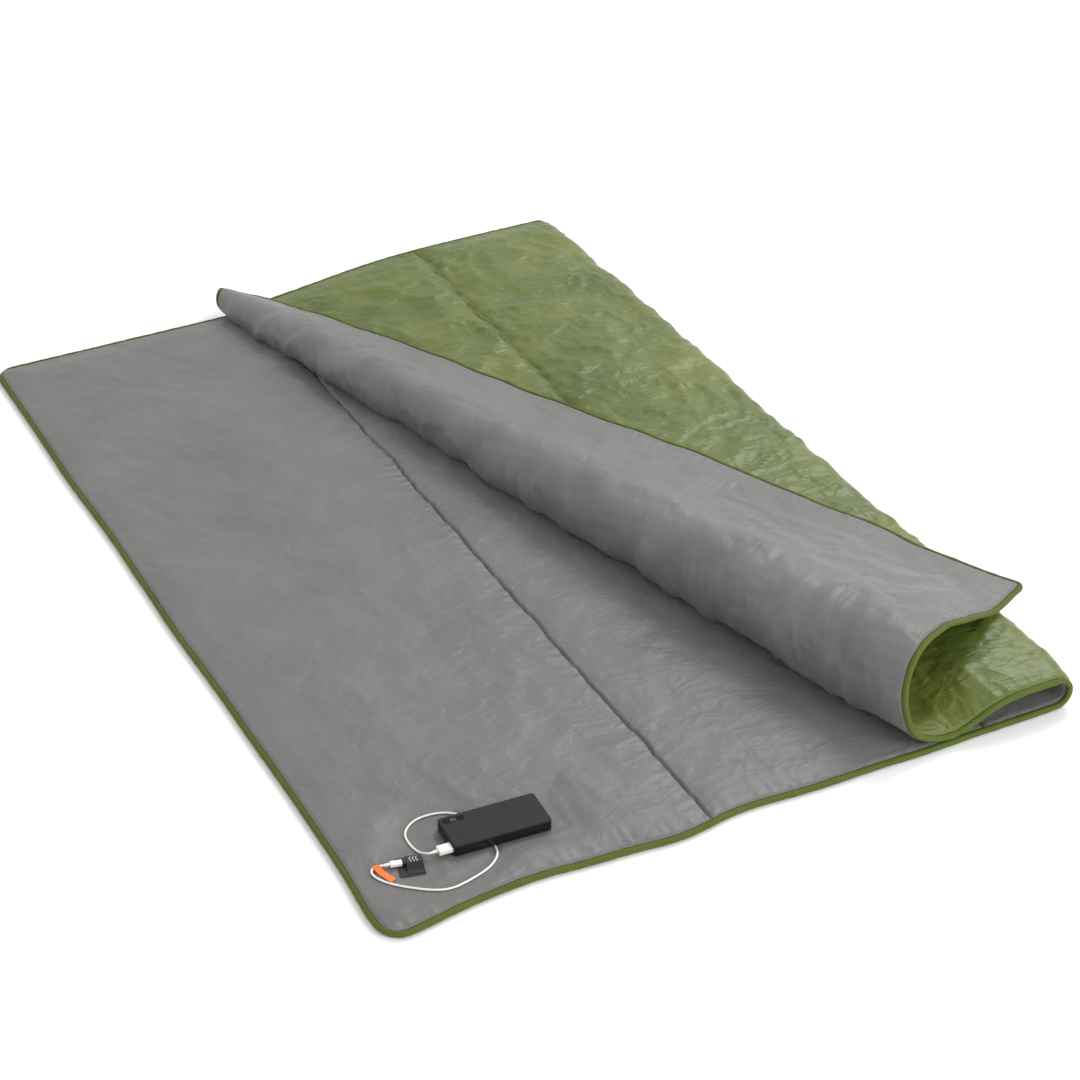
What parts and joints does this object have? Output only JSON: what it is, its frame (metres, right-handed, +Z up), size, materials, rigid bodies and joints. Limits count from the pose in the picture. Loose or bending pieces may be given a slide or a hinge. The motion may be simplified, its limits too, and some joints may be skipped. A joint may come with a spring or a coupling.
{
  "type": "heated camping quilt",
  "caption": "Quilted rectangular camping quilt lying with one side folded over and its corner turned back, heated from a power bank through a cable and a socket tab.",
  "frame": {"origin": "middle of the underside of the part of the quilt that lies flat on the ground", "axes": "+Z up, +Y along the quilt from the edge with the socket tab to the far edge, +X towards the fold"},
  "size_m": [1.162, 1.7091, 0.1603],
  "materials": {
    "lining": "satin woven polyester",
    "shell": "satin woven polyester",
    "wadding": "soft fibre batting",
    "binding": "folded woven tape",
    "thread": "twisted thread",
    "carbon": "woven carbon film",
    "black_cloth": "woven tape",
    "tag": "woven ribbon",
    "white_plastic": "smooth moulded",
    "black_plastic": "smooth moulded",
    "pebbled_plastic": "fine pebble texture",
    "clear_plastic": "polished dark window",
    "nickel": "nickel plated",
    "board": "solder mask",
    "cell": "foil pouch",
    "foam": "closed cell foam"
  },
  "bodies": {
    "base": {"lining_base": "lining", "wadding_base": "wadding", "shell_base": "shell", "binding_base": "binding", "seam_left_thread": "thread", "seam_middle_thread": "thread", "heating_pad_1": "carbon", "heating_pad_2": "carbon", "heating_pad_3": "carbon", "heater_lead_in": "thread", "heater_lead_pads": "thread", "thermal_cutoff": "black_plastic", "socket_patch": "black_cloth", "socket_label": "black_cloth", "socket_housing": "black_plastic", "socket_shell": "nickel", "socket_tongue": "black_plastic", "orange_tag": "tag", "cable": "white_plastic", "usb_plug_relief": "white_plastic", "usb_plug_body": "white_plastic", "usb_plug_shell": "nickel", "usb_plug_insulator": "white_plastic"},
    "flap": {"lining_flap": "lining", "wadding_flap": "wadding", "shell_flap": "shell", "lining_roll": "lining", "wadding_roll": "wadding", "shell_roll": "shell", "binding_flap_near": "binding", "binding_flap_far": "binding", "seam_right_thread": "thread"},
    "turnback": {"lining_turnback": "lining", "wadding_turnback": "wadding", "shell_turnback": "shell", "binding_turnback": "binding"},
    "tip_plug": {"tip_plug_relief": "white_plastic", "tip_plug_body": "white_plastic", "tip_plug_shell": "nickel"},
    "bank": {"bank_case": "black_plastic", "bank_cover": "pebbled_plastic", "display_window": "clear_plastic", "display_module": "board", "circuit_board": "board", "battery_cell_1": "cell", "battery_cell_2": "cell", "cell_foam": "foam", "usb_port_1_shell": "nickel", "usb_port_1_tongue": "black_plastic", "usb_port_2_shell": "nickel", "usb_port_2_tongue": "black_plastic", "charge_port_shell": "nickel", "charge_port_tongue": "black_plastic", "button_switch": "nickel"},
    "button": {"power_button": "black_plastic"}
  },
  "joints": [
    {"name": "flap_fold", "type": "hinge", "parent": "base", "child": "flap", "pos_m": [0.568, 0, 0.028], "axis": [0, 1, 0], "range_deg": [0, 45]},
    {"name": "turnback_fold", "type": "hinge", "parent": "flap", "child": "turnback", "pos_m": [0.355, -0.84, 0.1652], "axis": [0.2503, -0.9666, 0.0546], "range_deg": [0, 80]},
    {"name": "bank_slide", "type": "slide", "parent": "base", "child": "bank", "axis": [0.9981, -0.061, 0], "range_m": [0, 0.015]},
    {"name": "tip_plug_slide", "type": "slide", "parent": "base", "child": "tip_plug", "axis": [-0.9703, 0.2419, 0], "range_m": [0, 0.0065], "deforming": ["cable"]},
    {"name": "power_button", "type": "slide", "parent": "bank", "child": "button", "axis": [-0.061, -0.9981, 0], "range_m": [0, 0.0004], "stiffness_N_per_m": 800}
  ]
}
